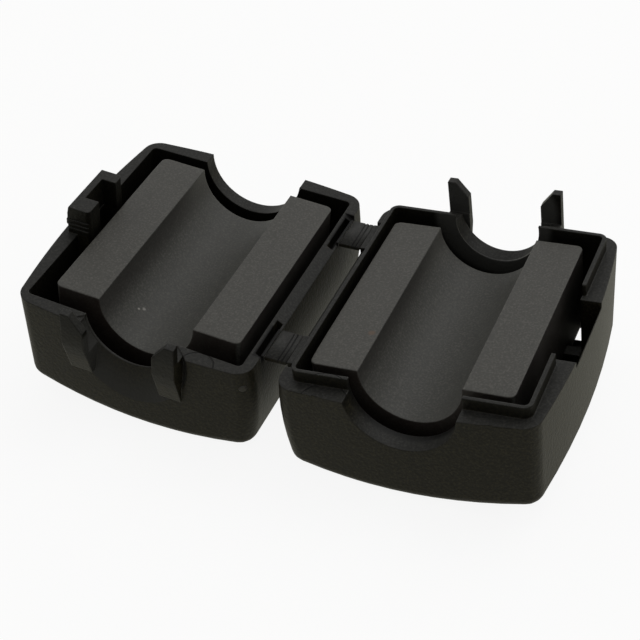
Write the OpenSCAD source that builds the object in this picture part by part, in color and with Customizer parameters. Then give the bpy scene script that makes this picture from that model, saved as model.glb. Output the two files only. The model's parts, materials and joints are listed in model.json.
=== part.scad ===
// Clip-on ferrite bead, lying open.
// Two moulded half cases joined by two living-hinge straps, each half holding half a ferrite core.
// Each half is drawn in its own frame: X towards the hinge, Y to the rear, Z up to the other half,
// with Z = 0 on the core's mating face. place_latch() and place_catch() set the halves down open.

/* [Ferrite core] */
// Length of the core along the cable
core_length = 30; // [24:0.5:36]
// Width of the core across the cable
core_width = 25.5; // [22:0.5:27]
// Height of one core half below its mating face
core_height = 12.4; // [11:0.1:12.8]
// Diameter of the cable bore through the closed core
bore_d = 13; // [9:0.5:13.5]
// Distance of the bore from the middle of the case, towards the hinge
core_offset = 0.6; // [0:0.1:0.8]
// Radius of the core's upright corners
core_corner = 0.9; // [0.3:0.1:1.5]
// Chamfer along the core's lower edges
core_chamfer = 1.2; // [0.5:0.1:2]

/* [Case] */
// Space beside the core at each side of the latch half's cavity
side_room = 2.15; // [1.95:0.05:2.35]
// Space beyond the core at each end of the latch half's cavity
end_room = 2.85; // [2.6:0.05:3.1]
// Thickness of the end walls at their corners
end_wall = 1.6; // [1.3:0.05:1.8]
// Thickness of the wall on the latch side at its corners
latch_wall = 1.1; // [0.9:0.05:1.4]
// Thickness of the wall on the hinge side at its top
hinge_wall = 1.3; // [1.1:0.05:1.4]
// Narrowing of the case at each end, from the hinge to the latch
end_taper = 0.6; // [0:0.05:0.7]
// Outward bow of the end walls
end_bow = 0.75; // [0.2:0.05:1]
// Outward bow of the latch side wall
side_bow = 1.05; // [0.3:0.05:1.3]
// Height of the rails that carry the core above the floor
rail_h = 1.2; // [0.8:0.1:1.4]
// Thickness of the floor at its middle
floor_wall = 1.9; // [1.6:0.1:3]
// Downward bow of the bottom, from its lower edge on the hinge side
bottom_bow = 1.5; // [1.2:0.1:1.7]
// Downward bow of the bottom, from its lower edge on the latch side
latch_bow = 1; // [0.8:0.1:1.4]
// Radius of the upright corners
corner_r = 2.4; // [2:0.1:3.2]
// Radius of the lower edges
edge_r = 1.7; // [1.2:0.1:1.9]
// Draft of the end walls, in degrees
draft = 3.5; // [2:0.5:6]
// Draft of the latch side wall, in degrees
latch_draft = 2; // [1:0.5:5]
// Outward swell of the hinge side wall, which limits how far the bead opens
hinge_swell = 0.8; // [0:0.1:0.9]

/* [Parting] */
// Height of the core's face above the latch half's rim
rim_drop = 0.6; // [0.4:0.05:1]
// Height of the core's face above the catch half's ledge
ledge_drop = 0.9; // [0.7:0.05:1.4]
// Height of the catch half's lip above its core's face
lip_rise = 0.75; // [0.65:0.05:0.9]
// Thickness of the lip
lip_wall = 0.5; // [0.4:0.05:0.7]
// Clearance between the lip and the latch half's rim
lip_clear = 0.15; // [0.1:0.05:0.25]

/* [Cable ends] */
// Clearance of the plain notches in the end walls round the bore
notch_clear = 0.5; // [0.4:0.1:0.9]
// Reach of the notches between the fingers inside the line of the bore, at their inner edge
finger_notch_in = 0.1; // [-0.3:0.1:0.5]
// Reach of the catch half's notch inside the line of the bore, where it grips the cable
grip_in = 0.8; // [0.5:0.1:1.1]
// Reach of the latch half's flare beyond the line of the bore, on the outside of the case
flare_out = 2.5; // [2:0.1:2.9]
// Depth of the flare's outer circle below the core's face
flare_drop = 2.6; // [1.5:0.1:3]
// Distance of each finger's outer edge beyond the line of the bore
finger_out = 1.2; // [0.5:0.1:1.5]
// Width of the latch half's fingers
latch_finger_w = 3; // [2:0.1:3.4]
// Width of the catch half's fingers
catch_finger_w = 2.75; // [2:0.05:3.4]
// Thickness of a finger
finger_t = 1.1; // [0.8:0.1:1.4]
// Height of the latch half's fingers above its core's face
latch_finger_h = 2.1; // [1.5:0.1:4]
// Height of the catch half's fingers above its core's face
catch_finger_h = 3.6; // [3:0.1:5]

/* [Hinge] */
// Distance of each fold line beyond the top of the hinge side wall
fold_out = 0.62; // [0.4:0.02:1]
// Length of a strap between its two fold lines
strap_length = 2.5; // [2.2:0.1:3]
// Thickness of a strap
strap_t = 0.5; // [0.4:0.05:0.6]
// Width of a strap along the hinge
strap_w = 5.3; // [4:0.1:6]
// Distance of each strap's middle from the end of the cavity
strap_in = 5.8; // [5.35:0.05:6.85]
// Space left between the two core halves when the bead is shut
face_gap = 0.2; // [0.1:0.05:0.3]
// Angle between a half's core face and the table as the bead lies open
open_tilt = 5.45; // [3:0.05:8]

/* [Latch] */
// Length of the latch tongue along the case
tongue_w = 9; // [7:0.1:9.4]
// Height of the tongue above the core's face
tongue_h = 3.6; // [2.8:0.1:3.8]
// Distance of the tongue's outer face beyond the corners of the latch side wall
tongue_out = 0.25; // [-0.3:0.05:0.3]
// Outward reach of the tongue's barb
barb = 0.4; // [0.2:0.05:0.5]
// Length of the gap for the tongue in the catch half's lip
gap_w = 13.2; // [12.6:0.1:14]
// Length of the pocket for the tongue behind that gap
pocket_w = 11.5; // [10.4:0.1:12.4]
// Distance of the gap's middle in front of the middle of the case
gap_y = 0.4; // [0:0.05:0.5]

/* [Hidden] */
$fn = 64;

// Share of a length, used where two solids must overlap to join or to cut cleanly
over_share = 0.1;
over = over_share * lip_wall;
// Height that clears everything above a half's core face
above = core_height;
case_black = [0.13, 0.125, 0.115];
ferrite_grey = [0.33, 0.32, 0.31];

bore_r = bore_d / 2;
notch_r = bore_r + notch_clear;
finger_notch_r = bore_r - finger_notch_in;
grip_r = bore_r - grip_in;
flare_r = bore_r + flare_out;
finger_x = bore_r + finger_out;
// Middle of the plain notches, between the middle of the case and the bore
notch_share = 0.5;
notch_x = notch_share * core_offset;
cavity_x = core_width / 2 + side_room;
cavity_y = core_length / 2 + end_room;
floor_depth = core_height + rail_h;
case_depth = floor_depth + floor_wall;
lip_x = cavity_x - lip_clear;
lip_y = cavity_y - lip_clear;
inner_x = lip_x - lip_wall;
inner_y = lip_y - lip_wall;
inner_corner = lip_wall + lip_clear;

// Outline of a half at the core's face: towards the hinge, towards the latch, and to each end
hinge_x = cavity_x + hinge_wall;
latch_x = cavity_x + latch_wall;
end_y = cavity_y + end_wall;
wall_mid_y = end_y + end_bow;
wall_mid_x = latch_x + side_bow;
tongue_x = latch_x + tongue_out;

// Depth at which the lower edges start to round off
round_top = case_depth - bottom_bow - edge_r;
latch_top = case_depth - latch_bow - edge_r;
// Centres of the lower edges' rounding: towards the hinge, towards the latch, and to each end
bow_h = hinge_at(round_top) - edge_r;
bow_l = latch_x - latch_top * tan(latch_draft) - edge_r;
bow_y = end_y - round_top * tan(draft) - edge_r;
corner_in = corner_r - edge_r;
// Where the bowed bottom touches the table, as a distance from the half's middle
touch_x = pow(bow_h, 2) * tan(open_tilt) / (2 * bottom_bow);
touch_share = touch_x / (bow_h - corner_in);
bow_steps = 5;
bow_shares = concat([for (i = [-bow_steps : bow_steps]) i / bow_steps], [touch_share]);
side_shares = [-0.75, -0.5, -0.25, 0, 0.25, 0.5, 0.75];
corner_angles = [30, 60, 90];
edge_fn = 32;

strap_y = cavity_y - strap_in;
fold_x = hinge_x + fold_out;
fold_z = (strap_length - face_gap) / 2;
fold_gap_share = 0.1;
fold_gap = fold_gap_share * strap_t;
knuckle_r = strap_t / 2;
lug_end = fold_x - knuckle_r - fold_gap;
lug_depth_share = 5;
lug_depth = lug_depth_share * strap_t;
// Height of the fold lines above the table
fold_height = (touch_x - fold_x) * sin(open_tilt)
    + (case_depth - bottom_bow * pow(touch_x / bow_h, 2) - edge_r - fold_z) * cos(open_tilt) + edge_r;

steps = 20;
side_levels = 5;
slice_share = 0.004;
slice = slice_share * lip_wall;

// Sets a half down on the table, to the left of the hinge
module place_latch() {
    translate([-strap_length / 2, 0, fold_height])
        rotate([0, open_tilt, 0])
            translate([-fold_x, 0, fold_z])
                children();
}

// Sets a half down on the table, to the right of the hinge
module place_catch() {
    mirror([1, 0, 0]) place_latch() children();
}

// Extrudes a profile in X and Z along Y, from one Y to another
module along_y(from, to) {
    translate([0, to, 0])
        rotate([90, 0, 0])
            linear_extrude(to - from)
                children();
}

// A round bar along Y about a half's origin or another point in X and Z
module bar_y(r, from, to, x = 0, z = 0) {
    translate([x, to, z]) rotate([90, 0, 0]) cylinder(h = to - from, r = r);
}

// A rectangle with round corners that narrows away from the hinge, in plain shapes that stay exact
module rounded(half_x, half_y, r, taper = 0) {
    slant = atan2(taper, 2 * half_x);
    tip = r * [-sin(slant), cos(slant)];
    centres = [
        for (x = [half_x - r, r - half_x])
            [x, half_y - taper * (half_x - x) / (2 * half_x) - r / cos(slant)]
    ];
    for (s = [0, 1])
        mirror([0, s]) {
            polygon([
                [half_x, 0], [half_x, centres[0].y], centres[0] + tip, centres[1] + tip,
                [-half_x, centres[1].y], [-half_x, 0],
            ]);
            for (c = centres) translate(c) circle(r);
        }
}

// A box between two corners
module box(low, high) {
    translate(low) cube(high - low);
}

// Distance of the hinge side wall from the middle at a depth
function hinge_at(depth) = hinge_x + hinge_swell * (1 - pow(1 - 2 * depth / case_depth, 2));

// Half length of the case at a share of its width, from -1 at the latch to 1 at the hinge
function end_at(y, s) = y - end_taper * (1 - s) / 2 + end_bow * (1 - s * s);

// Height of the bowed bottom at a distance from the middle
function bottom_at(x) =
    (x > 0 ? bottom_bow * pow(x / bow_h, 2) : latch_bow * pow(x / bow_l, 2)) - case_depth;

// Points of the case's outline at a depth: bowed sides joined by round corners
function outline(depth) = let (
    hx = hinge_at(depth),
    lx = latch_x - depth * tan(latch_draft),
    ey = end_y - depth * tan(draft),
    ly = ey - end_taper,
    r = corner_r,
    cx = (hx - lx) / 2,
    half = (hx + lx) / 2 - r,
    corner = function (x, y, a) [
        for (i = [0 : steps / 2]) [x, y] + r * [cos(a + i * 180 / steps), sin(a + i * 180 / steps)]
    ]
) concat(
    corner(hx - r, ey - r, 0),
    [for (i = [1 : steps - 1]) let (s = 1 - 2 * i / steps) [cx + s * half, end_at(ey, s)]],
    corner(r - lx, ly - r, 90),
    [for (i = [1 : steps - 1]) let (s = 1 - 2 * i / steps) [-lx - side_bow * (1 - s * s), s * (ly - r)]],
    corner(r - lx, r - ly, 180),
    [for (i = [1 : steps - 1]) let (s = 2 * i / steps - 1) [cx + s * half, -end_at(ey, s)]],
    corner(hx - r, r - ey, 270)
);

// Centres of the lower edges' rounding, on one side of Y
bow_points = concat(
    [
        for (s = bow_shares)
            let (x = s * ((s > 0 ? bow_h : bow_l) - corner_in))
                [x, end_at(bow_y, s), bottom_at(x)]
    ],
    [
        for (a = corner_angles)
            let (x = bow_h - corner_in * (1 - sin(a)))
                [x, bow_y - corner_in * (1 - cos(a)), bottom_at(x)]
    ],
    [
        for (a = corner_angles)
            let (x = corner_in * (1 - sin(a)) - bow_l)
                [x, bow_y - end_taper - corner_in * (1 - cos(a)), bottom_at(x)]
    ],
    [
        for (s = side_shares)
            [-bow_l - side_bow * (1 - s * s), s * (bow_y - end_taper - corner_in), bottom_at(-bow_l)]
    ]
);

// The outside of a half as one solid block with its top at a depth below the core's face
module case_block(top) {
    hull() {
        for (i = [0 : side_levels])
            let (depth = top + (round_top - top) * i / side_levels)
                translate([0, 0, -depth - slice])
                    linear_extrude(slice) polygon(outline(depth));
        for (p = bow_points, end = [-1, 1])
            translate([p.x, end * p.y, p.z + edge_r])
                sphere(edge_r, $fn = edge_fn);
    }
}

// Upright space for a core half, down to the floor that the core stands on
module cavity(half_x, half_y) {
    translate([0, 0, -floor_depth])
        linear_extrude(floor_depth + above)
            rounded(half_x, half_y, inner_corner, end_taper);
}

// Rails under the core half, and ribs low in the cavity that hold it by its sides and ends
rib_top_share = 0.72;
rib_w_share = 0.06;
rib_place_share = 0.36;
side_rib_share = 0.17;
module core_ribs(half_x, half_y) {
    rib = rib_w_share * core_length;
    top = -rib_top_share * core_height;
    low = -floor_depth - over;
    for (s = [-1, 1]) {
        y = s * side_rib_share * core_length;
        x = core_offset + s * rib_place_share * core_width;
        box([x - rib / 2, -half_y - over, low], [x + rib / 2, half_y + over, -core_height]);
        box([core_offset + core_width / 2, y - rib / 2, low], [half_x + over, y + rib / 2, top]);
        box([-half_x - over, y - rib / 2, low], [core_offset - core_width / 2, y + rib / 2, top]);
        box([x - rib / 2, core_length / 2, low], [x + rib / 2, half_y + over, top]);
        box([x - rib / 2, -half_y - over, low], [x + rib / 2, -core_length / 2, top]);
    }
}

// Slope along the outer edge of the hinge wall, between the corner blocks
slope_in_share = 0.1;
slope_down_share = 0.5;
slope_end_share = 0.86;
module hinge_slope(top) {
    in = cavity_x + slope_in_share * hinge_wall;
    far = hinge_x + hinge_wall;
    end = slope_end_share * cavity_y;
    along_y(-end, end)
        polygon([
            [in, above], [in, -top],
            [far, -top - slope_down_share * hinge_wall * (far - in) / (hinge_x - in)],
            [far, above],
        ]);
}

// Lugs on the hinge wall that carry the straps
module hinge_lugs(from) {
    for (s = [-1, 1]) {
        y = s * strap_y;
        box([from, y - strap_w / 2, -fold_z - lug_depth],
            [lug_end, y + strap_w / 2, -fold_z + strap_t / 2]);
    }
}

// Pockets in the latch half between its rim and the straps' lugs, longer towards the middle
pocket_in_share = 0.38;
pocket_depth_share = 0.6;
pocket_long_share = 0.25;
lug_wall_share = 0.7;
module strap_pockets() {
    in = cavity_x + pocket_in_share * hinge_wall;
    low = -fold_z - pocket_depth_share * lug_depth;
    front = strap_y - (pocket_long_share + 1 / 2) * strap_w;
    for (s = [0, 1])
        mirror([0, s, 0])
            box([in, front, low], [lug_end - lug_wall_share * strap_t, strap_y + strap_w / 2, above]);
}

// Flare that opens the latch half's front notch outwards
module flare() {
    lean = wall_mid_y - flare_drop * tan(draft);
    mirror([0, 1, 0])
        hull() {
            bar_y(finger_notch_r, cavity_y - over, cavity_y);
            translate([0, lean, -flare_drop])
                rotate([-draft, 0, 0])
                    bar_y(flare_r, 0, finger_t);
        }
}

// Cone that narrows the catch half's rear notch towards its outer edge
module grip() {
    translate([0, wall_mid_y, 0])
        rotate([90, 0, 0])
            cylinder(h = wall_mid_y - inner_y + over, r1 = grip_r, r2 = finger_notch_r);
}

// A pair of upright fingers on the outside of an end wall, on the side of Y that end names
finger_root_share = 0.9;
finger_point_share = 0.6;
finger_drop_share = 1.3;
module fingers(end, width, height, top) {
    in = wall_mid_y + lip_clear;
    out = in + finger_t;
    inner = finger_x - width;
    point = finger_point_share * width;
    root = -finger_root_share * flare_r;
    flush = wall_mid_y + root * tan(draft);
    for (s = [0, 1])
        mirror([s, 0, 0]) mirror([0, end < 0 ? 1 : 0, 0]) {
            along_y(in, out)
                polygon([
                    [inner, -top - finger_t], [inner, height - finger_drop_share * point],
                    [inner + point, height], [finger_x - over, height],
                    [finger_x, height - over], [finger_x, -top - finger_t],
                ]);
            difference() {
                translate([inner, 0, 0])
                    rotate([90, 0, 90])
                        linear_extrude(width)
                            polygon([
                                [cavity_y + over, root], [flush, root], [out, -top - 2 * finger_t],
                                [out, -top - lip_clear], [cavity_y + over, -top - lip_clear],
                            ]);
                bar_y(finger_notch_r, cavity_y - over, wall_mid_y);
            }
        }
}

// The latch tongue: a channel in plan, open towards the core, with a barb along its outer face
tongue_bar_share = 0.075;
tongue_rear_share = 0.2;
tongue_front_share = 0.3;
tongue_arm_share = 0.2;
tongue_corner_share = 0.06;
tongue_root_share = 0.35;
barb_z_share = 0.2;
barb_lead_share = 0.35;
lead_share = 0.3;
lead_in_share = 0.06;
tongue_groove_share = 0.08;
tongue_groove_shares = [0.06, 0.25, 0.44];
module latch_tongue() {
    bar = tongue_bar_share * tongue_x;
    arm = tongue_arm_share * tongue_x;
    low = -tongue_root_share * core_height;
    half = tongue_w / 2;
    catch_z = barb_z_share * tongue_h;
    lead = lead_in_share * tongue_h;
    groove = tongue_groove_share * tongue_h;
    difference() {
        intersection() {
            union() {
                along_y(-half, half)
                    polygon([
                        [bar - tongue_x, low], [bar - tongue_x, tongue_h], [lead - tongue_x, tongue_h],
                        [-tongue_x, tongue_h * (1 - lead_share)],
                        [-tongue_x, catch_z + barb_lead_share * tongue_h],
                        [-tongue_x - barb, catch_z + barb], [-tongue_x - barb, catch_z],
                        [-tongue_x, catch_z], [-tongue_x, low],
                    ]);
                box([lead - tongue_x, half - tongue_rear_share * tongue_w, low],
                    [arm - tongue_x, half, tongue_h]);
                box([lead - tongue_x, -half, low],
                    [arm - tongue_x, tongue_front_share * tongue_w - half, tongue_h]);
            }
            translate([(arm - barb) / 2 - tongue_x, 0, low])
                linear_extrude(tongue_h - low)
                    rounded((arm + barb) / 2, half, tongue_corner_share * tongue_w);
        }
        for (s = tongue_groove_shares)
            box([-tongue_x - barb - over, -half - over, s * tongue_h],
                [arm - tongue_x + over, groove / 2 - half, s * tongue_h + groove]);
    }
}

// Slots through the floor under the core's latch side edge, left by the mould
slot_from_share = 0.733;
slot_to_share = 0.965;
slot_out_share = 0.5;
slot_in_share = 0.95;
module floor_slots(half_x, half_y) {
    edge = core_width / 2 - core_offset;
    side = half_x - edge;
    for (s = [0, 1])
        mirror([0, s, 0])
            box([-edge - slot_out_share * side, slot_from_share * half_y, -case_depth - over],
                [-edge + slot_in_share * side, slot_to_share * half_y, -floor_depth + over]);
}

module latch_shell() {
    color(case_black) place_latch() {
        difference() {
            union() {
                case_block(rim_drop);
                hinge_lugs(cavity_x + over);
            }
            cavity(cavity_x, cavity_y);
            bar_y(notch_r, 0, wall_mid_y + finger_t, notch_x);
            bar_y(finger_notch_r, -wall_mid_y - finger_t, 0);
            flare();
            difference() {
                hinge_slope(rim_drop);
                hinge_lugs(cavity_x);
            }
            strap_pockets();
        }
        core_ribs(cavity_x, cavity_y);
        latch_tongue();
        fingers(-1, latch_finger_w, latch_finger_h, rim_drop);
    }
}

// The catch half's raised lip, still whole
module lip() {
    translate([0, 0, -floor_depth])
        linear_extrude(floor_depth + lip_rise)
            difference() {
                rounded(lip_x, lip_y, inner_corner + lip_wall, end_taper);
                rounded(inner_x, inner_y, inner_corner, end_taper);
            }
}

// Gap in the lip, and behind it a pocket with a sloped sill, for the latch tongue
gap_in_share = 0.9;
sill_depth_share = 1.25;
sill_edge_share = 1.25;
pocket_low_share = 0.6;
module latch_gap() {
    in = tongue_x - gap_in_share * barb;
    far = wall_mid_x + side_bow;
    sill = sill_depth_share * tongue_h;
    edge = sill_edge_share * ledge_drop;
    far_z = (far - in) / (wall_mid_x - in) * (sill - edge) - sill;
    low = -pocket_low_share * case_depth;
    box([-lip_x - over, -gap_y - gap_w / 2, -ledge_drop],
        [over - inner_x, gap_w / 2 - gap_y, above]);
    along_y(-gap_y - pocket_w / 2, pocket_w / 2 - gap_y)
        polygon([
            [over - inner_x, above], [over - inner_x, low], [-in, -sill - barb],
            [-in, -sill], [-far, far_z], [-far, above],
        ]);
}

module catch_shell() {
    color(case_black) place_catch() {
        difference() {
            union() {
                case_block(ledge_drop);
                lip();
                hinge_lugs(cavity_x);
            }
            cavity(inner_x, inner_y);
            bar_y(grip_r, 0, wall_mid_y + finger_t);
            grip();
            bar_y(notch_r, -wall_mid_y - finger_t, 0, notch_x);
            difference() {
                hinge_slope(ledge_drop);
                hinge_lugs(cavity_x);
                lip();
            }
            latch_gap();
            floor_slots(inner_x, inner_y);
        }
        core_ribs(inner_x, inner_y);
        fingers(1, catch_finger_w, catch_finger_h, ledge_drop);
    }
}

// One half of the ferrite core, standing on its floor
module core_half() {
    half_x = core_width / 2;
    difference() {
        translate([core_offset, 0, 0])
            intersection() {
                translate([0, 0, -core_height])
                    linear_extrude(core_height) rounded(half_x, core_length / 2, core_corner);
                along_y(-core_length / 2, core_length / 2)
                    polygon([
                        [-half_x, 0], [half_x, 0], [half_x, core_chamfer - core_height],
                        [half_x - core_chamfer, -core_height], [core_chamfer - half_x, -core_height],
                        [-half_x, core_chamfer - core_height],
                    ]);
            }
        bar_y(bore_r, -core_length, core_length, core_offset);
    }
}

module latch_core() {
    color(ferrite_grey) place_latch() core_half();
}

module catch_core() {
    color(ferrite_grey) place_catch() core_half();
}

// A hinge strap between its two fold lines, with a groove across its top
groove_share = 0.22;
groove_r_share = 0.35;
module hinge_strap(y) {
    half = strap_length / 2;
    low = y - strap_w / 2;
    high = y + strap_w / 2;
    color(case_black)
        translate([0, 0, fold_height])
            difference() {
                union() {
                    box([-half, low, -strap_t / 2], [half, high, strap_t / 2]);
                    for (s = [-1, 1]) bar_y(knuckle_r, low, high, s * half);
                }
                bar_y(groove_r_share * strap_t, low - over, high + over, groove_share * half, strap_t / 2);
            }
}

module hinge_strap_rear() {
    hinge_strap(strap_y);
}

module hinge_strap_front() {
    hinge_strap(-strap_y);
}

latch_shell();
latch_core();
catch_shell();
catch_core();
hinge_strap_rear();
hinge_strap_front();
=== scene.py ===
"""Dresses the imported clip-on ferrite bead: moulded half cases, ground ferrite cores, living-hinge straps."""

import json
from math import cos, hypot, radians, sin

import bmesh
import bpy
from bpy.props import FloatProperty, FloatVectorProperty, PointerProperty
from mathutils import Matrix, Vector
from mathutils.bvhtree import BVHTree
from mathutils.kdtree import KDTree


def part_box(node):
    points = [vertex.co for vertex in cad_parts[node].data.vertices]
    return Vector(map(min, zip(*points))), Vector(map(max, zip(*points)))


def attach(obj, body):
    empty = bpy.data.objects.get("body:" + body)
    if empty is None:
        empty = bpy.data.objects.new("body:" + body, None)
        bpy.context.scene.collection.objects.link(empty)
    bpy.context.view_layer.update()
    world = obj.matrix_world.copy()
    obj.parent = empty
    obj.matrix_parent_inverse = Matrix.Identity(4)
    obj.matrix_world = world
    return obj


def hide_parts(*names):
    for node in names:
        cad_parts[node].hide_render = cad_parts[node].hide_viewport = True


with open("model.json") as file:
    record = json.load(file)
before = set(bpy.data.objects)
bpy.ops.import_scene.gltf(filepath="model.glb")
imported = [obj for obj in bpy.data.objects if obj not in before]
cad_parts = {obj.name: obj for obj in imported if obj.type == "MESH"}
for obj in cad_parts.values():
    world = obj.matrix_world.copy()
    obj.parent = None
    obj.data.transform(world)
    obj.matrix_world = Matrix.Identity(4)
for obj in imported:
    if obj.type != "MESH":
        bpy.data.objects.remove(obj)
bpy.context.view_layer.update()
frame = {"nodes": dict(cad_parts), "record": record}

bl_info = {
    "name": "Clip-on ferrite bead",
    "version": (1, 0, 0),
    "blender": (4, 5, 0),
    "location": "View3D > Sidebar > Ferrite bead",
    "description": "Finishes for an open clip-on ferrite bead and the stage it lies on",
    "category": "Object",
}

MM = 0.001
ACROSS, ALONG, UP = (1, 0, 0), (0, 1, 0), (0, 0, 1)
FORWARD = (0, -1, 0)
HALVES = ("latch", "catch")
# Each half leans up towards its latch side as the bead lies open
LEAN = radians(5.45)
# A point on each half's cable channel
CHANNELS = {mount["name"].split("_")[0]: Vector(mount["pos_m"]) for mount in frame["record"]["mounts"]}
# How far each half's rim lies below the core's mating face
RIM_DEPTH = {"latch": 0.6 * MM, "catch": 0.9 * MM}


def face_normal(half):
    """Direction out of a half's mating face at rest."""
    side = 1 if half == "latch" else -1
    return Vector((side * sin(LEAN), 0, cos(LEAN)))


def face_level(half):
    """Height of a half's mating face along its own normal."""
    out = face_normal(half)
    return max(out.dot(v.co) for v in frame["nodes"][f"{half}_core"].data.vertices)


# ---------------------------------------------------------------------------
# Shader maths


class Value:
    """A shader socket that takes part in sums, products and differences."""

    def __init__(self, tree, socket):
        self.tree = tree
        self.socket = socket

    def _math(self, operation, first, second):
        node = self.tree.nodes.new("ShaderNodeMath")
        node.operation = operation
        for slot, value in zip(node.inputs, (first, second)):
            if isinstance(value, Value):
                self.tree.links.new(value.socket, slot)
            else:
                slot.default_value = value
        return Value(self.tree, node.outputs[0])

    def __add__(self, other):
        return self._math("ADD", self, other)

    def __radd__(self, other):
        return self._math("ADD", other, self)

    def __sub__(self, other):
        return self._math("SUBTRACT", self, other)

    def __rsub__(self, other):
        return self._math("SUBTRACT", other, self)

    def __mul__(self, other):
        return self._math("MULTIPLY", self, other)

    def __rmul__(self, other):
        return self._math("MULTIPLY", other, self)


class Finish:
    """A node tree under construction, in a material or the world."""

    def __init__(self, owner):
        owner.use_nodes = True
        self.tree = owner.node_tree
        self.tree.nodes.clear()

    def node(self, kind, settings=None, inputs=None, output=0):
        """Adds a node: its settings first, then its sockets' values or links. Returns one output."""
        made = self.tree.nodes.new(kind)
        for name, value in (settings or {}).items():
            setattr(made, name, value)
        for name, value in (inputs or {}).items():
            slot = made.inputs[name]
            if isinstance(value, Value):
                self.tree.links.new(value.socket, slot)
            else:
                slot.default_value = value
        return Value(self.tree, made.outputs[output]) if len(made.outputs) else None

    # Short forms of the nodes that the finishes use most

    def place(self):
        return self.node("ShaderNodeTexCoord", output="Object")

    def facing(self):
        return self.node("ShaderNodeTexCoord", output="Normal")

    def noise(self, vector, size, detail=2.0, rough=0.5):
        """Smooth noise whose lumps are about that size in metres."""
        return self.node(
            "ShaderNodeTexNoise",
            inputs={"Vector": vector, "Scale": 1 / size, "Detail": detail, "Roughness": rough},
            output="Fac",
        )

    def step(self, value, low, high, to_low=0.0, to_high=1.0):
        """A smooth step between two values."""
        return self.node(
            "ShaderNodeMapRange",
            {"interpolation_type": "SMOOTHSTEP"},
            {"Value": value, "From Min": low, "From Max": high, "To Min": to_low, "To Max": to_high},
        )

    def fall(self, value, low, high):
        """A smooth step down, from 1 to 0."""
        return self.step(value, low, high, 1.0, 0.0)

    def absolute(self, value):
        return self.node("ShaderNodeMath", {"operation": "ABSOLUTE"}, {0: value})

    def vector_math(self, operation, first, second, output=0):
        return self.node("ShaderNodeVectorMath", {"operation": operation}, {0: first, 1: second}, output)

    def dot(self, vector, direction):
        return self.vector_math("DOT_PRODUCT", vector, direction, "Value")

    def near(self, vector, point):
        """Distance from a point in metres."""
        return self.vector_math("DISTANCE", vector, point, "Value")

    def between(self, start, end):
        """The way from one place to another."""
        return self.vector_math("SUBTRACT", end, start)

    def blend(self, share, first, second):
        """A colour between two colours."""
        return self.node(
            "ShaderNodeMix",
            {"data_type": "RGBA", "clamp_factor": True},
            {0: share, 6: first, 7: second},
            2,
        )

    def stretch(self, vector, scale):
        return self.node("ShaderNodeMapping", {"vector_type": "POINT"}, {"Vector": vector, "Scale": scale})

    def rounding(self, reach):
        """The surface's direction with edges rounded within reach, and a share that rises at them."""
        rounded = self.node("ShaderNodeBevel", {"samples": 6}, {"Radius": reach})
        flat = self.node("ShaderNodeNewGeometry", output="Normal")
        return rounded, 1 - self.dot(rounded, flat)

    def ray(self, kind):
        return self.node("ShaderNodeLightPath", output=f"Is {kind} Ray")

    def looked_at(self):
        """1 for what is seen, straight or in a mirror, and 0 for what only gives light."""
        seen = self.ray("Camera") + self.ray("Glossy") + self.ray("Transmission")
        return self.node("ShaderNodeClamp", inputs={"Value": seen})

    def surface(self, base, rough, shine, height, strength, relief, normal):
        """Ends a material: a plain surface with its colour, roughness and fine relief."""
        bump = self.node(
            "ShaderNodeBump",
            inputs={"Strength": strength, "Distance": relief, "Height": height, "Normal": normal},
        )
        shader = self.node(
            "ShaderNodeBsdfPrincipled",
            inputs={"Base Color": base, "Roughness": rough, "Specular IOR Level": shine, "Normal": bump},
        )
        self.node("ShaderNodeOutputMaterial", inputs={"Surface": shader})


def shade(colour, factor=1):
    """A colour made lighter or darker, with full alpha."""
    return (*(factor * c for c in colour), 1)


# ---------------------------------------------------------------------------
# Settings


class CaseSettings(bpy.types.PropertyGroup):
    """Sizes and colours of the moulded case."""

    wall_colour: FloatVectorProperty(
        name="Wall colour",
        description="Colour of the grained outer walls",
        subtype="COLOR",
        default=(0.0068, 0.0060, 0.0034),
        min=0,
        max=1,
    )
    rim_colour: FloatVectorProperty(
        name="Rim colour",
        description="Colour of the smoother rims, ledges and inner walls",
        subtype="COLOR",
        default=(0.0160, 0.0158, 0.0142),
        min=0,
        max=1,
    )
    grain: FloatProperty(
        name="Grain",
        description="Size of the grain that the mould leaves on the outer walls",
        default=0.0003,
        min=0.00005,
        max=0.001,
        unit="LENGTH",
        precision=5,
    )
    edge_round: FloatProperty(
        name="Edge rounding",
        description="Width of the rounding along the moulded edges",
        default=0.00016,
        min=0.00002,
        max=0.0003,
        unit="LENGTH",
        precision=5,
    )


class FerriteSettings(bpy.types.PropertyGroup):
    """Sizes and colours of the ferrite core halves."""

    ground_colour: FloatVectorProperty(
        name="Ground colour",
        description="Colour of the ground mating faces",
        subtype="COLOR",
        default=(0.0429, 0.0415, 0.0360),
        min=0,
        max=1,
    )
    fired_colour: FloatVectorProperty(
        name="Fired colour",
        description="Colour of the bore and the other faces, left as fired",
        subtype="COLOR",
        default=(0.0418, 0.0418, 0.0372),
        min=0,
        max=1,
    )
    # The end faces' browner colour is darkened with painted shade, for the gap before the end walls
    shaded_end_colour: FloatVectorProperty(
        name="End colour",
        description="Colour of the browner end faces",
        subtype="COLOR",
        default=(0.0105, 0.0070, 0.0054),
        min=0,
        max=1,
    )
    speckle: FloatProperty(
        name="Speckle",
        description="Size of the crystals that speckle the ground faces",
        default=0.00028,
        min=0.00005,
        max=0.001,
        unit="LENGTH",
        precision=5,
    )
    edge_round: FloatProperty(
        name="Edge rounding",
        description="Width of the tumbled rounding along the core's edges",
        default=0.00012,
        min=0.00002,
        max=0.0003,
        unit="LENGTH",
        precision=5,
    )


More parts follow.
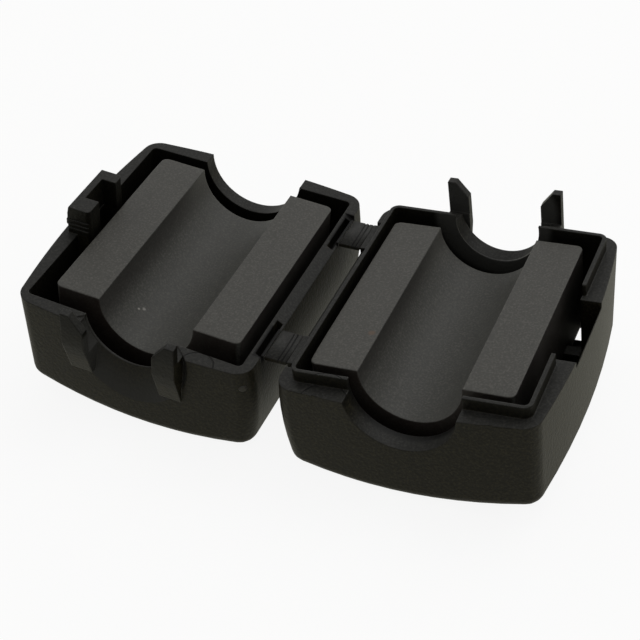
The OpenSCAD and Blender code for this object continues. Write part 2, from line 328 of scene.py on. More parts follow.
class HingeSettings(bpy.types.PropertyGroup):
    """Sizes of the hinge straps and the mould's marks."""

    fold_groove: FloatProperty(
        name="Fold groove",
        description="Depth of the grooves across a strap",
        default=0.00012,
        min=0,
        max=0.0002,
        unit="LENGTH",
        precision=5,
    )
    gate_width: FloatProperty(
        name="Gate mark",
        description="Width of the round marks that the mould's gates leave",
        default=0.0011,
        min=0.0004,
        max=0.002,
        unit="LENGTH",
        precision=5,
    )
    gate_height: FloatProperty(
        name="Gate mark height",
        description="Height of the round marks above the wall",
        default=0.00014,
        min=0.00005,
        max=0.0003,
        unit="LENGTH",
        precision=5,
    )


class StageSettings(bpy.types.PropertyGroup):
    """Camera, light and floor."""

    camera_place: FloatVectorProperty(
        name="Camera",
        description="Place of the camera",
        subtype="TRANSLATION",
        unit="LENGTH",
        default=(0.061173, -0.135146, 0.133536),
    )
    camera_turn: FloatVectorProperty(
        name="Camera turn",
        description="Turn of the camera about X, Y and Z",
        subtype="EULER",
        unit="ROTATION",
        default=(radians(49.703), radians(2.181), radians(22.679)),
    )
    lens: FloatProperty(
        name="Lens",
        description="Focal length on a 36 mm sensor, in millimetres",
        default=83.94,
        min=20,
        max=300,
    )
    sky: FloatProperty(
        name="Sky",
        description="Strength of the soft light from all round",
        default=0.75,
        min=0,
        max=2,
    )
    key: FloatProperty(
        name="Key light",
        description="Power of the large soft lamp",
        default=0.9,
        min=0,
        max=10,
        unit="POWER",
    )
    floor_colour: FloatVectorProperty(
        name="Floor",
        description="Colour of the floor",
        subtype="COLOR",
        default=(0.88, 0.88, 0.85),
        min=0,
        max=1,
    )
    shadow: FloatProperty(
        name="Shadow",
        description="Share of the object's shadow that shows on the white floor",
        default=0.1,
        min=0,
        max=1,
        subtype="FACTOR",
    )


class BeadSettings(bpy.types.PropertyGroup):
    """All settings of the bead."""

    case: PointerProperty(type=CaseSettings)
    ferrite: PointerProperty(type=FerriteSettings)
    hinge: PointerProperty(type=HingeSettings)
    stage: PointerProperty(type=StageSettings)


# ---------------------------------------------------------------------------
# Finishes

# Tones that the finishes blend towards; some are painted shade, painted light or painted highlights
HARDLY_LIT = (0.0015, 0.0015, 0.0013, 1)
GROOVE_SHADE = (0.002, 0.002, 0.0018, 1)
RUBBED_AND_HIGHLIT = (0.036, 0.035, 0.031, 1)
DUSTY = (0.075, 0.072, 0.066, 1)
GATE_SCAR = (0.075, 0.072, 0.062, 1)
MOUTH_LIGHT_BAND = (0.045, 0.045, 0.041, 1)
PORE = (0.012, 0.011, 0.010, 1)
CHIPPED_AND_HIGHLIT = (0.085, 0.083, 0.076, 1)
# How strongly each material mirrors
CASE_SHINE, FERRITE_SHINE = 0.09, 0.22


def case_finish(settings, part):
    """Black moulded nylon: grained walls, smoother rims, edges lightened by wear and a painted highlight,
    painted shade and painted light on inner walls, raised faces, mouths and grooves, and the marks of each part
    of the case.
    """
    material = bpy.data.materials.new(f"black nylon {part}")
    f = Finish(material)
    place, facing = f.place(), f.facing()
    up = f.dot(facing, face_normal(part) if part in HALVES else UP)
    rim = f.step(up, 0.3, 0.75)
    grain = f.noise(place, settings.grain, 3.0, 0.6)
    pits = f.node(
        "ShaderNodeTexVoronoi",
        {"feature": "SMOOTH_F1"},
        {"Vector": place, "Scale": 0.6 / settings.grain, "Smoothness": 0.6},
        "Distance",
    )
    mottle = f.noise(place, 5.5 * MM, 4.0, 0.6)
    cloud = f.noise(place, 16 * MM, 2.0, 0.5)
    rounded, edge = f.rounding(1.5 * settings.edge_round)
    worn_and_highlit = f.step(edge * f.noise(place, 0.9 * MM, 3.0, 0.6), 0.02, 0.12)
    dust = f.step(f.noise(place, 0.55 * MM, 1.0, 0.4), 0.74, 0.8) * f.step(up, 0.2, 0.9, 0.25, 1.0)

    specks = f.step(grain, 0.4, 0.72)
    wall = f.blend(mottle * cloud * 2.2, shade(settings.wall_colour), shade(settings.wall_colour, 0.7))
    wall = f.blend(specks * 0.85, wall, shade(settings.wall_colour, 3.3))
    top = f.blend(specks * 0.6, shade(settings.rim_colour), shade(settings.rim_colour, 2.6))
    base = f.blend(rim, wall, top)
    # Edges lightened by wear and by a painted highlight
    base = f.blend(worn_and_highlit * 0.55, base, RUBBED_AND_HIGHLIT)
    base = f.blend(dust * 0.35, base, DUSTY)

    rough = 0.42 + 0.16 * grain - 0.04 * rim - 0.1 * worn_and_highlit
    height = (0.65 * grain + 0.5 * pits) * (1 - 0.7 * rim)
    if part in HALVES:
        depth = face_level(part) - f.dot(place, face_normal(part))
        # Painted shade on the sides of what stands above the rim, such as the lip
        shaded_raised = f.fall(depth, RIM_DEPTH[part] - 0.25 * MM, RIM_DEPTH[part]) * (1 - rim)
        base = f.blend(shaded_raised * 0.6, base, HARDLY_LIT)
        # Painted shade on the inner walls that face the core
        base = f.blend(inside(f, place, facing, depth, part) * 0.7, base, HARDLY_LIT)
        base = mouths(f, place, facing, depth, part, base, settings)
        # The ring dips in the bump, and painted shade darkens its groove
        ring = ejector_ring(f, place, part) * rim
        height = height - 2.2 * ring
        base = f.blend(ring * 0.75, base, GROOVE_SHADE)
    elif part == "straps":
        # Painted shade in the strap's grooves
        base = f.blend(fold_lines(f, place) * 0.8, base, GROOVE_SHADE)
    else:
        base = f.blend(0.4, base, GATE_SCAR)
    f.surface(base, rough, CASE_SHINE, height, 0.85, 0.07 * MM, rounded)
    return material


# From here on, across the bead, the catch half's inner walls are open to the light of the latch gap
LATCH_GAP = (32.2 * MM, 32.8 * MM)


def inside(f, place, facing, depth, half):
    """1 on the walls that face the core, which the mould leaves smooth and the light hardly reaches; painted
    shade darkens them there.
    """
    low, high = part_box(f"{half}_core")
    middle = Vector(((low.x + high.x) / 2, (low.y + high.y) / 2, low.z))
    walls = f.step(f.dot(facing, f.between(place, middle)), 1 * MM, 4 * MM)
    walls = walls * f.step(depth, -0.6 * MM, 0.6 * MM)
    if half == "catch":
        walls = walls * f.fall(f.dot(place, ACROSS), *LATCH_GAP)
    return walls


# Where the tones of the cable mouths change along the bead, each from one place to another
FLARE_END = (-16.8 * MM, -16.2 * MM)
FINGER_FRONT = (-20.9 * MM, -20.5 * MM)
FRONT_MOUTH_START, FRONT_MOUTH_END = (-18.4 * MM, -17.2 * MM), (-16.4 * MM, -16 * MM)
REAR_MOUTH_START = (16.2 * MM, 16.6 * MM)
# And outwards from the channel's axis
REAR_BAND_EDGE = (7.2 * MM, 8.4 * MM)


def mouths(f, place, facing, depth, half, base, settings):
    """The cable mouths in the end walls: painted light makes them paler where they flare and on a band of the
    catch half's rear mouth; painted shade darkens them where they meet the core, on the latch half's finger
    fronts and in its strap pockets.
    """
    spoke = f.stretch(f.between(place, CHANNELS[half]), (1, 0, 1))
    along = f.dot(place, ALONG)
    forward = f.step(f.dot(facing, FORWARD), 0.5, 0.9)
    toward = f.step(f.dot(facing, spoke), 1.5 * MM, 3.5 * MM) * f.step(depth, 0.7 * MM, 1.2 * MM)
    if half == "latch":
        # Painted light: the flare is paler where it faces the channel
        base = f.blend(f.fall(along, *FLARE_END) * toward, base, shade(settings.rim_colour, 1.5))
        # Painted shade on the fronts of the fingers
        base = f.blend(f.fall(along, *FINGER_FRONT) * forward * 0.7, base, HARDLY_LIT)
        # Painted shade in the pockets of the strap roots
        return f.blend(strap_roots(f, place) * 0.85, base, HARDLY_LIT)
    # Painted shade where the front mouth meets the core
    front = f.step(along, *FRONT_MOUTH_START) * f.fall(along, *FRONT_MOUTH_END) * toward
    base = f.blend(front * 0.8, base, HARDLY_LIT)
    # Painted light on a band of the rear mouth
    rear = forward * f.step(along, *REAR_MOUTH_START)
    away = f.near(spoke, (0, 0, 0))
    return f.blend(rear * f.fall(away, *REAR_BAND_EDGE), base, MOUTH_LIGHT_BAND)


# The latch half's wall next to the straps, across the bead
STRAP_WALL = (-2.95 * MM, -2.7 * MM)


def strap_roots(f, place):
    """1 in the deep pockets that the straps' roots sit in, on the latch half, where painted shade darkens them.
    """
    low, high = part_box("hinge_strap_rear")
    side = f.absolute(f.dot(place, ALONG))
    pocket = f.step(side, low.y - 0.3 * MM, low.y) * f.fall(side, high.y + 0.6 * MM, high.y + 1 * MM)
    return pocket * f.step(f.dot(place, ACROSS), *STRAP_WALL)


# Where the grooves cross a strap, and how far each goes from its middle line, as shares of the strap's reach
GROOVE_SHARES = (0.66, 0.26)
GROOVE_TOP_SHARE, GROOVE_FOOT_SHARE = 0.1, 0.04


def strap_reach():
    """Distance of a strap's fold lines from the middle of the bead."""
    low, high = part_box("hinge_strap_rear")
    return high.x - (high.z - low.z) / 2


def fold_lines(f, place):
    """Painted shade in a strap's grooves, as dark lines."""
    reach = strap_reach()
    flat = f.stretch(place, ACROSS)
    lines = 0.0
    for share in GROOVE_SHARES:
        away = f.near(flat, (share * reach, 0, 0))
        lines = lines + f.fall(away, 0.05 * reach, GROOVE_TOP_SHARE * reach)
    return lines


# Middle and radius of the ejector-pin ring on each front rim, and the width of its line to each side
RINGS = {
    "latch": ((-8.1 * MM, -19.75 * MM), 2.05 * MM),
    "catch": ((8.3 * MM, -19.9 * MM), 2.8 * MM),
}
RING_LINE = 0.14 * MM


def ejector_ring(f, place, half):
    """A thin ring where an ejector pin met the rim; it dips in the bump and painted shade darkens its groove.
    """
    (x, y), radius = RINGS[half]
    away = f.near(f.stretch(place, (1, 1, 0)), (x, y, 0))
    return f.step(away, radius - RING_LINE, radius) * f.fall(away, radius, radius + RING_LINE)


def ferrite_finish(settings, half):
    """Sintered ferrite: ground mating faces, satin bore, browner ends darkened with painted shade, painted
    shade on steep walls, and chipped edges lightened by wear and a painted highlight.
    """
    material = bpy.data.materials.new(f"ferrite {half}")
    f = Finish(material)
    place, facing = f.place(), f.facing()
    out = face_normal(half)
    depth = face_level(half) - f.dot(place, out)
    ground = f.step(f.dot(facing, out), 0.9, 0.98) * f.fall(depth, 0.2 * MM, 0.6 * MM)
    end = f.step(f.absolute(f.dot(facing, ALONG)), 0.7, 0.95)
    shaded_steep = f.step(f.absolute(f.dot(facing, ACROSS)), 0.8, 1.0)
    outer = f.step(f.near(f.stretch(place, ACROSS), (CHANNELS[half].x, 0, 0)), 8 * MM, 10 * MM)

    crystals = f.noise(place, settings.speckle, 3.0, 0.65)
    mottle = f.noise(place, 4.2 * MM, 4.0, 0.6)
    grinding = f.noise(f.stretch(place, (1.0, 0.035, 1.0)), 0.13 * MM, 3.0, 0.6)
    drawing = f.noise(f.stretch(place, (1.0, 0.03, 1.0)), 0.4 * MM, 3.0, 0.5)
    pores = f.step(f.noise(place, 0.45 * MM, 2.0, 0.5), 0.7, 0.78)
    rounded, edge = f.rounding(2 * settings.edge_round)
    worn_and_highlit = f.step(edge * f.noise(place, 0.6 * MM, 3.0, 0.7), 0.02, 0.12)

    base = f.blend(end, shade(settings.fired_colour), shade(settings.shaded_end_colour))
    # Painted shade on the steep walls that face across, more on the outer sides
    base = f.blend(shaded_steep * (0.6 + 0.35 * outer), base, shade(settings.shaded_end_colour, 0.5))
    base = f.blend(ground, base, shade(settings.ground_colour))
    base = f.blend(f.step(mottle, 0.3, 0.75) * 0.3, base, shade(settings.ground_colour, 0.72))
    lines = f.step(grinding, 0.45, 0.8) * ground
    base = f.blend(lines * 0.25, base, shade(settings.ground_colour, 1.35))
    specks = f.step(crystals, 0.42, 0.75) * (0.6 - 0.45 * end) * (1 - 0.6 * shaded_steep)
    base = f.blend(specks, base, shade(settings.ground_colour, 2.3))
    base = f.blend(pores * 0.45, base, PORE)
    # Edges lightened by wear and by a painted highlight
    base = f.blend(worn_and_highlit * 0.4, base, CHIPPED_AND_HIGHLIT)
    base = stains(f, place, half, base)

    rough = 0.52 - 0.1 * ground + 0.12 * crystals - 0.06 * (1 - ground) * drawing
    height = 0.35 * crystals + 0.3 * grinding * ground + 0.25 * drawing * (1 - ground)
    f.surface(base, rough, FERRITE_SHINE, height, 0.35, 0.03 * MM, rounded)
    return material


# Small marks on the cores: place, radius, colour
STAINS = {
    "latch": [
        ((-21.75 * MM, -9.49 * MM, 11.0 * MM), 0.2 * MM, (0.30, 0.29, 0.26, 1)),
        ((-21.3 * MM, -8.95 * MM, 10.68 * MM), 0.32 * MM, (0.24, 0.23, 0.21, 1)),
    ],
    "catch": [((9.91 * MM, -7.87 * MM, 15.02 * MM), 0.55 * MM, (0.085, 0.055, 0.036, 1))],
}


def stains(f, place, half, base):
    """Light specks in the latch half's bore, and a rusty one on the catch half's face."""
    wobble = f.noise(place, 0.5 * MM, 2.0, 0.6)
    for spot, radius, colour in STAINS[half]:
        away = f.near(place, spot) + (0.8 * radius) * wobble
        base = f.blend(f.step(away, 0.7 * radius, 1.5 * radius, 0.8, 0.0), base, colour)
    return base


# ---------------------------------------------------------------------------
# Meshes

# Points of the CAD's loose triangles that are one point
SAME_POINT = 6e-6
# Shorter edges and narrower faces than this are dropped
TOO_SMALL = 2e-6
# Faces within this angle are one flat face, and edges within it one straight edge
FLAT = radians(0.3)
# A fold this sharp is a crease, and an outer one this sharp is rounded
CREASE, CORNER = radians(20), radians(25)
# Share of the room beside an edge that its rounding may take, and the least share of its width worth making
ROOM_SHARE, LEAST_SHARE = 0.42, 0.05
# A shorter way across a face than this says nothing of its room
LEAST_ROOM = 0.02 * MM
# How far a rounded face may lie from the CAD surface, and how far from a stray face edges stay sharp
STRAY, STRAY_REACH = 0.1 * MM, 0.22 * MM
# Near where a rounding stops, gentler folds are creases too
END_REACH, END_CREASE = 0.4 * MM, radians(10)
# The end walls start here, and the mouths in them reach this far from the channel's axis
END_WALL, MOUTH_REACH = 15.2 * MM, 11 * MM
# Tries at rounding; the last but one gives it up, so the last is the CAD shape itself
ROUNDING_TURNS = 8
# Where a triangle is tested: its middle, and a spot near each corner
SPOTS = ((1 / 3, 1 / 3, 1 / 3), (0.6, 0.2, 0.2), (0.2, 0.6, 0.2), (0.2, 0.2, 0.6))


def new_piece(name, mesh):
    piece = bpy.data.objects.new(name, mesh)
    bpy.context.scene.collection.objects.link(piece)
    return piece


def modified_mesh(piece):
    """A piece's mesh as its modifiers make it."""
    bpy.context.view_layer.update()
    seen = bpy.context.evaluated_depsgraph_get()
    return bpy.data.meshes.new_from_object(piece.evaluated_get(seen))


def give_mesh(piece, mesh):
    """Puts a finished mesh in place of a piece's first one."""
    if not mesh.polygons:
        raise RuntimeError(f"{piece.name} came out empty")
    first = piece.data
    piece.data = mesh
    bpy.data.meshes.remove(first)


def joined(source):
    """A CAD node's triangles, joined up, with each flat face whole."""
    bm = bmesh.new()
    bm.from_mesh(source)
    bmesh.ops.remove_doubles(bm, verts=bm.verts[:], dist=SAME_POINT)
    bmesh.ops.dissolve_degenerate(bm, dist=TOO_SMALL, edges=bm.edges[:])
    bmesh.ops.dissolve_limit(bm, angle_limit=FLAT, verts=bm.verts[:], edges=bm.edges[:])
    return bm


def surface_of(source):
    """A mesh's surface, to measure distances from."""
    corners = [v.co for v in source.vertices]
    return BVHTree.FromPolygons(corners, [tuple(p.vertices) for p in source.polygons])


def nearness(points):
    """A function that gives the distance from a place to the nearest of some points."""
    tree = KDTree(len(points))
    for index, point in enumerate(points):
        tree.insert(point, index)
    tree.balance()
    return lambda place: tree.find(place)[2] if points else 1.0


def edge_room(edge):
    """Smallest distance across an edge's faces, as the edges at its ends show it."""
    rooms = []
    for vert in edge.verts:
        along = (edge.other_vert(vert).co - vert.co).normalized()
        for other in vert.link_edges:
            if other is not edge and set(other.link_faces) & set(edge.link_faces):
                across = other.other_vert(vert).co - vert.co
                rooms.append((across - across.dot(along) * along).length)
    return min((room for room in rooms if room > LEAST_ROOM), default=0)


def in_mouth(half, edge):
    """Whether an edge belongs to one of a half's cable mouths, whose small facets have no room for rounding."""
    middle = (edge.verts[0].co + edge.verts[1].co) / 2
    spoke = middle - CHANNELS[half]
    return abs(middle.y) > END_WALL and hypot(spoke.x, spoke.z) < MOUTH_REACH


def weigh_edges(bm, half, width):
    """Gives each outer edge the share of the rounding that it has room for. The other folds stay creases."""
    weight = bm.edges.layers.float.new("bevel_weight_edge")
    for edge in bm.edges:
        fold = edge.calc_face_angle(0)
        if edge.is_convex and fold > CORNER and not in_mouth(half, edge):
            share = min(1, ROOM_SHARE * edge_room(edge) / width)
            edge[weight] = share if share > LEAST_SHARE else 0
        edge.smooth = edge[weight] > 0 or fold < CREASE
    return weight


def stray_corners(mesh, surface):
    """Corners of the faces that leave the CAD surface or look the other way."""
    mesh.calc_loop_triangles()
    strays = set()
    for triangle in mesh.loop_triangles:
        corners = [mesh.vertices[i].co for i in triangle.vertices]
        for shares in SPOTS:
            spot = sum((share * corner for share, corner in zip(shares, corners)), Vector())
            _, normal, _, away = surface.find_nearest(spot)
            if away > STRAY or normal.dot(triangle.normal) < -0.1:
                strays.add(triangle.polygon_index)
    return [mesh.vertices[i].co.copy() for face in strays for i in mesh.polygons[face].vertices]


def drop_rounding(bm, weight, strays, everywhere):
    """Leaves the edges near stray corners sharp."""
    close = nearness(strays)
    for edge in bm.edges:
        if everywhere or any(close(vert.co) < STRAY_REACH for vert in edge.verts):
            edge[weight] = 0
            edge.smooth = edge.calc_face_angle(0) < CREASE


def rounding_stops(vert, weight):
    """Whether a rounded edge runs into one that stays sharp."""
    edges = vert.link_edges
    return any(e[weight] > 0 for e in edges) and any(e.is_convex and not e.smooth for e in edges)


def clean_up(mesh, ends):
    """Drops spare points and empty faces, and keeps the ends of a rounding from bending the walls' shading."""
    bm = bmesh.new()
    bm.from_mesh(mesh)
    bmesh.ops.remove_doubles(bm, verts=bm.verts[:], dist=TOO_SMALL)
    bmesh.ops.dissolve_degenerate(bm, dist=TOO_SMALL, edges=bm.edges[:])
    spare = [v for v in bm.verts if len(v.link_edges) == 2 and v.calc_edge_angle(0) < FLAT]
    bmesh.ops.dissolve_verts(bm, verts=spare)
    close = nearness(ends)
    for edge in bm.edges:
        if edge.calc_face_angle(0) > END_CREASE and any(close(v.co) < END_REACH for v in edge.verts):
            edge.smooth = False
    bm.to_mesh(mesh)
    bm.free()
    mesh.polygons.foreach_set("use_smooth", [True] * len(mesh.polygons))


def rounded_copy(node, name, width):
    """A CAD node's shape as a new piece with its outer edges rounded, but for those with no room for it."""
    source = frame["nodes"][node].data
    surface = surface_of(source)
    bm = joined(source)
    weight = weigh_edges(bm, node.split("_")[0], width)
    piece = new_piece(name, bpy.data.meshes.new(name))
    bevel = piece.modifiers.new("Edge rounding", "BEVEL")
    bevel.width = width
    bevel.segments = 2
    bevel.limit_method = "WEIGHT"
    bevel.use_clamp_overlap = False
    bevel.miter_outer = "MITER_ARC"
    for turn in range(ROUNDING_TURNS):
        bm.to_mesh(piece.data)
        made = modified_mesh(piece)
        strays = stray_corners(made, surface)
        if not strays:
            break
        drop_rounding(bm, weight, strays, everywhere=turn == ROUNDING_TURNS - 2)
    clean_up(made, [v.co.copy() for v in bm.verts if rounding_stops(v, weight)])
    bm.free()
    piece.modifiers.remove(bevel)
    give_mesh(piece, made)
    return piece


def flat_faces(piece):
    """Keeps a piece's flat faces flat to the light, beside its round ones."""
    normals = piece.modifiers.new("Flat faces", "WEIGHTED_NORMAL")
    normals.keep_sharp = True
    normals.weight = 80


class Nodes:
    """A Geometry Nodes tree with named inputs."""

    def __init__(self, name):
        self.tree = bpy.data.node_groups.new(name, "GeometryNodeTree")
        self.names = {}

    def socket(self, name, kind, into="INPUT", default=None):
        made = self.tree.interface.new_socket(name=name, in_out=into, socket_type=kind)
        if default is not None:
            made.default_value = default
        self.names[name] = made.identifier

    def node(self, kind, settings=None, inputs=None):
        """Adds a node: its settings first, then its sockets' values or links."""
        made = self.tree.nodes.new(kind)
        for name, value in (settings or {}).items():
            setattr(made, name, value)
        for name, value in (inputs or {}).items():
            if isinstance(value, bpy.types.NodeSocket):
                self.tree.links.new(value, made.inputs[name])
            else:
                made.inputs[name].default_value = value
        return made.outputs

    def instances(self, result, points, instance, material, **inputs):
        """Ends the tree: copies on points, made real, with their material."""
        many = self.node(
            "GeometryNodeInstanceOnPoints", inputs={"Points": points, "Instance": instance, **inputs}
        )
        real = self.node("GeometryNodeRealizeInstances", inputs={"Geometry": many[0]})
        done = self.node("GeometryNodeSetMaterial", inputs={"Geometry": real[0], "Material": material})
        self.node("NodeGroupOutput", inputs={result: done[0]})

    def run(self, piece, values):
        """Puts the tree on a piece with its input values, and leaves the result as a plain mesh."""
        modifier = piece.modifiers.new(self.tree.name, "NODES")
        modifier.node_group = self.tree
        for name, value in values.items():
            modifier[self.names[name]] = value
        made = modified_mesh(piece)
        piece.modifiers.remove(modifier)
        give_mesh(piece, made)


# ---------------------------------------------------------------------------
# Operators


class FERRITE_BEAD_OT_half_cases(bpy.types.Operator):
    """Makes the two moulded half cases"""

    bl_idname = "ferrite_bead.half_cases"
    bl_label = "Half cases"

    def execute(self, context):
        case = context.scene.ferrite_bead.case
        for half in HALVES:
            piece = rounded_copy(f"{half}_shell", f"{half}_half_case", case.edge_round)
            flat_faces(piece)
            piece.data.materials.append(case_finish(case, half))
            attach(piece, f"{half}_half")
            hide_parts(f"{half}_shell")
        return {"FINISHED"}


class FERRITE_BEAD_OT_core_halves(bpy.types.Operator):
    """Makes the two ferrite core halves"""

    bl_idname = "ferrite_bead.core_halves"
    bl_label = "Core halves"

    def execute(self, context):
        ferrite = context.scene.ferrite_bead.ferrite
        for half in HALVES:
            piece = rounded_copy(f"{half}_core", f"{half}_core_half", ferrite.edge_round)
            flat_faces(piece)
            piece.data.materials.append(ferrite_finish(ferrite, half))
            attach(piece, f"{half}_half")
            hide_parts(f"{half}_core")
        return {"FINISHED"}


class FERRITE_BEAD_OT_hinge_straps(bpy.types.Operator):
    """Makes the two living-hinge straps"""

    bl_idname = "ferrite_bead.hinge_straps"
    bl_label = "Hinge straps"

    def execute(self, context):
        settings = context.scene.ferrite_bead
        low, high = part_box("hinge_strap_rear")
        piece = new_piece("hinge_straps", self.strap(low, high, settings.hinge.fold_groove))
        self.tree().run(
            piece,
            {"Spread": low.y + high.y, "Plastic": case_finish(settings.case, "straps")},
        )
        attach(piece, "straps")
        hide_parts("hinge_strap_rear", "hinge_strap_front")
        return {"FINISHED"}

    @classmethod
    def strap(cls, low, high, groove):
        """One strap, as long along Y as the CAD's and in the middle of the bead."""
        width = high.y - low.y
        mesh = bpy.data.meshes.new("strap")
        bm = bmesh.new()
        outline = [bm.verts.new((x, -width / 2, z)) for x, z in cls.profile(low, high, groove)]
        swept = bmesh.ops.extrude_face_region(bm, geom=[bm.faces.new(outline)])
        moved = [v for v in swept["geom"] if isinstance(v, bmesh.types.BMVert)]
        bmesh.ops.translate(bm, verts=moved, vec=(0, width, 0))
        bmesh.ops.recalc_face_normals(bm, faces=bm.faces[:])
        for face in bm.faces:
            face.smooth = len(face.verts) == 4
        bm.to_mesh(mesh)
        bm.free()
        return mesh

    @staticmethod
    def profile(low, high, groove):
        """The strap's outline in X and Z, with round knuckles at its folds and grooves between them."""
        radius = (high.z - low.z) / 2
        middle = (high.z + low.z) / 2
        reach = strap_reach()

        def knuckle(x, start, end):
            turns = [radians(turn) for turn in range(start, end + 1, 15)]
            return [(x + radius * cos(turn), middle + radius * sin(turn)) for turn in turns]

        points = knuckle(reach, -90, 90)
        top, foot = GROOVE_TOP_SHARE, GROOVE_FOOT_SHARE
        for at in GROOVE_SHARES:
            for side, depth in ((top, 0), (foot, groove), (-foot, groove), (-top, 0)):
                points.append(((at + side) * reach, high.z - depth))
        return points + knuckle(-reach, 90, 270)

    @staticmethod
    def tree():
        """Geometry Nodes that set the strap at both ends of a line along Y."""
        tree = Nodes("Hinge straps")
        tree.socket("Strap", "NodeSocketGeometry")
        tree.socket("Spread", "NodeSocketFloat", default=24 * MM)
        tree.socket("Plastic", "NodeSocketMaterial")
        tree.socket("Straps", "NodeSocketGeometry", "OUTPUT")
        given = tree.node("NodeGroupInput")
        rear = tree.node("ShaderNodeMath", {"operation": "MULTIPLY"}, {0: given["Spread"], 1: 0.5})
        front = tree.node("ShaderNodeMath", {"operation": "MULTIPLY"}, {0: given["Spread"], 1: -0.5})
        start = tree.node("ShaderNodeCombineXYZ", inputs={"Y": front[0]})
        end = tree.node("ShaderNodeCombineXYZ", inputs={"Y": rear[0]})
        line = tree.node(
            "GeometryNodeMeshLine",
            {"mode": "END_POINTS", "count_mode": "TOTAL"},
            {"Count": 2, "Start Location": start[0], "Offset": end[0]},
        )
        tree.instances("Straps", line[0], given["Strap"], given["Plastic"])
        return tree


class FERRITE_BEAD_OT_gate_marks(bpy.types.Operator):
    """Makes the small round marks that the mould's gates leave on the walls"""

    bl_idname = "ferrite_bead.gate_marks"
    bl_label = "Gate marks"

    # Where each mark is looked for: a start point and a direction towards the wall
    MARKS = {
        "latch": (
            ((-2.59 * MM, -30 * MM, 11.26 * MM), (0, 1, 0)),
            ((-18 * MM, 1 * MM, -9 * MM), (0, 0, 1)),
        ),
        "catch": (((18 * MM, 1 * MM, -9 * MM), (0, 0, 1)),),
    }

    def execute(self, context):
        settings = context.scene.ferrite_bead
        tree = self.tree()
        for half in HALVES:
            walls = surface_of(frame["nodes"][f"{half}_shell"].data)
            places, normals = [], []
            for start, way in self.MARKS[half]:
                spot, normal, _, _ = walls.ray_cast(Vector(start), Vector(way))
                if spot is None:
                    raise RuntimeError(f"a gate mark of the {half} half misses its wall")
                places.append(spot - 0.5 * settings.hinge.gate_height * normal)
                normals.append(normal)
            mesh = bpy.data.meshes.new(f"{half}_gate_marks")
            mesh.from_pydata(places, [], [])
            facing = mesh.attributes.new("facing", "FLOAT_VECTOR", "POINT")
            for item, normal in zip(facing.data, normals):
                item.vector = normal
            piece = new_piece(f"{half}_gate_marks", mesh)
            tree.run(
                piece,
                {
                    "Width": settings.hinge.gate_width,
                    "Height": 1.5 * settings.hinge.gate_height,
                    "Plastic": case_finish(settings.case, f"{half} gates"),
                },
            )
            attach(piece, f"{half}_half")
        return {"FINISHED"}

    @staticmethod
    def tree():
        """Geometry Nodes that set a low cone on each place, along its wall's direction."""
        tree = Nodes("Gate marks")
        tree.socket("Places", "NodeSocketGeometry")
        tree.socket("Width", "NodeSocketFloat", default=1 * MM)
        tree.socket("Height", "NodeSocketFloat", default=0.2 * MM)
        tree.socket("Plastic", "NodeSocketMaterial")
        tree.socket("Marks", "NodeSocketGeometry", "OUTPUT")
        given = tree.node("NodeGroupInput")
        foot = tree.node("ShaderNodeMath", {"operation": "MULTIPLY"}, {0: given["Width"], 1: 0.5})
        tip = tree.node("ShaderNodeMath", {"operation": "MULTIPLY"}, {0: given["Width"], 1: 0.33})
        nub = tree.node(
            "GeometryNodeMeshCone",
            {"fill_type": "NGON"},
            {"Vertices": 28, "Radius Top": tip[0], "Radius Bottom": foot[0], "Depth": given["Height"]},
        )
        facing = tree.node(
            "GeometryNodeInputNamedAttribute", {"data_type": "FLOAT_VECTOR"}, {"Name": "facing"}
        )
        turn = tree.node(
            "FunctionNodeAlignRotationToVector", {"axis": "Z"}, {"Vector": facing["Attribute"]}
        )
        tree.instances("Marks", given["Places"], nub["Mesh"], given["Plastic"], Rotation=turn[0])
        return tree


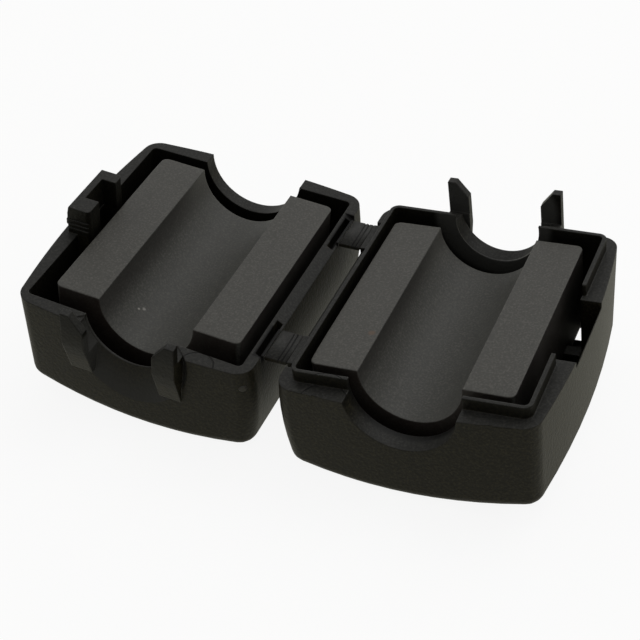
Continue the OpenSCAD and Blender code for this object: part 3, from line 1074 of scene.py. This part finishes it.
class FERRITE_BEAD_OT_stage(bpy.types.Operator):
    """Sets the camera, the light and the floor"""

    bl_idname = "ferrite_bead.stage"
    bl_label = "Stage"

    SENSOR = 36
    LAMP_PLACE = Vector((0.18, 0.3, 0.45))
    LAMP_SIZE = 0.5
    # The way in which the sky grows brighter
    SKY_WAY = (-0.25, 0.97, 0)
    FLOOR_REACH = 1.5
    WHITE = (1, 1, 1, 1)
    # What the floor adds to the walls that mirror it
    WARM_WHITE = (1, 0.99, 0.85, 1)

    def execute(self, context):
        stage = context.scene.ferrite_bead.stage
        context.scene.view_settings.view_transform = "Standard"

        lens = bpy.data.cameras.new("camera")
        lens.sensor_width = self.SENSOR
        lens.lens = stage.lens
        lens.clip_start, lens.clip_end = 0.01, 10
        camera = bpy.data.objects.new("camera", lens)
        camera.location = stage.camera_place
        camera.rotation_euler = stage.camera_turn
        context.scene.collection.objects.link(camera)
        context.scene.camera = camera

        lamp = bpy.data.lights.new("soft lamp", "AREA")
        lamp.size = self.LAMP_SIZE
        lamp.energy = stage.key
        soft = bpy.data.objects.new("soft lamp", lamp)
        soft.location = self.LAMP_PLACE
        soft.rotation_euler = (-self.LAMP_PLACE).to_track_quat("-Z", "Y").to_euler()
        context.scene.collection.objects.link(soft)

        self.sky(context, stage)
        self.floor(stage)
        return {"FINISHED"}

    def sky(self, context, stage):
        """White where it is seen or mirrored; the light that it gives is softer, and least in front."""
        world = bpy.data.worlds.new("white surroundings")
        context.scene.world = world
        f = Finish(world)
        way = f.node("ShaderNodeTexCoord", output="Generated")
        glow = stage.sky * f.step(f.dot(way, self.SKY_WAY), -0.9, 0.6, 0.3, 1.2)
        light = f.node("ShaderNodeBackground", inputs={"Color": self.WHITE, "Strength": glow})
        white = f.node("ShaderNodeBackground", inputs={"Color": self.WHITE, "Strength": 1.0})
        both = f.node("ShaderNodeMixShader", inputs={0: f.looked_at(), 1: light, 2: white})
        f.node("ShaderNodeOutputWorld", inputs={"Surface": both})

    def floor(self, stage):
        """A pale floor that looks white, with a share of the object's shadow."""
        mesh = bpy.data.meshes.new("floor")
        bm = bmesh.new()
        bmesh.ops.create_grid(bm, x_segments=1, y_segments=1, size=self.FLOOR_REACH)
        bm.to_mesh(mesh)
        bm.free()
        floor = new_piece("floor", mesh)
        material = bpy.data.materials.new("pale floor")
        f = Finish(material)
        paper = f.node("ShaderNodeBsdfDiffuse", inputs={"Color": shade(stage.floor_colour)})
        tint = f.blend(f.ray("Glossy"), self.WHITE, self.WARM_WHITE)
        white = f.node("ShaderNodeEmission", inputs={"Color": tint, "Strength": 1.0})
        share = f.looked_at() * (1 - stage.shadow)
        both = f.node("ShaderNodeMixShader", inputs={0: share, 1: paper, 2: white})
        f.node("ShaderNodeOutputMaterial", inputs={"Surface": both})
        mesh.materials.append(material)


class FERRITE_BEAD_PT_panel(bpy.types.Panel):
    """Lists the bead's pieces and settings"""

    bl_idname = "FERRITE_BEAD_PT_panel"
    bl_label = "Ferrite bead"
    bl_space_type = "VIEW_3D"
    bl_region_type = "UI"
    bl_category = "Ferrite bead"

    def draw(self, context):
        settings = context.scene.ferrite_bead
        for made in OPERATORS:
            self.layout.operator(made.bl_idname)
        for group in (settings.case, settings.ferrite, settings.hinge, settings.stage):
            box = self.layout.box()
            for name in group.__annotations__:
                box.prop(group, name)


OPERATORS = (
    FERRITE_BEAD_OT_half_cases,
    FERRITE_BEAD_OT_core_halves,
    FERRITE_BEAD_OT_hinge_straps,
    FERRITE_BEAD_OT_gate_marks,
    FERRITE_BEAD_OT_stage,
)
CLASSES = (
    CaseSettings,
    FerriteSettings,
    HingeSettings,
    StageSettings,
    BeadSettings,
    *OPERATORS,
    FERRITE_BEAD_PT_panel,
)


def register():
    for made in CLASSES:
        bpy.utils.register_class(made)
    bpy.types.Scene.ferrite_bead = PointerProperty(type=BeadSettings)


def unregister():
    del bpy.types.Scene.ferrite_bead
    for made in reversed(CLASSES):
        bpy.utils.unregister_class(made)


def main():
    register()
    bpy.ops.ferrite_bead.half_cases()
    bpy.ops.ferrite_bead.core_halves()
    bpy.ops.ferrite_bead.hinge_straps()
    bpy.ops.ferrite_bead.gate_marks()
    bpy.ops.ferrite_bead.stage()


if __name__ == "__main__":
    main()
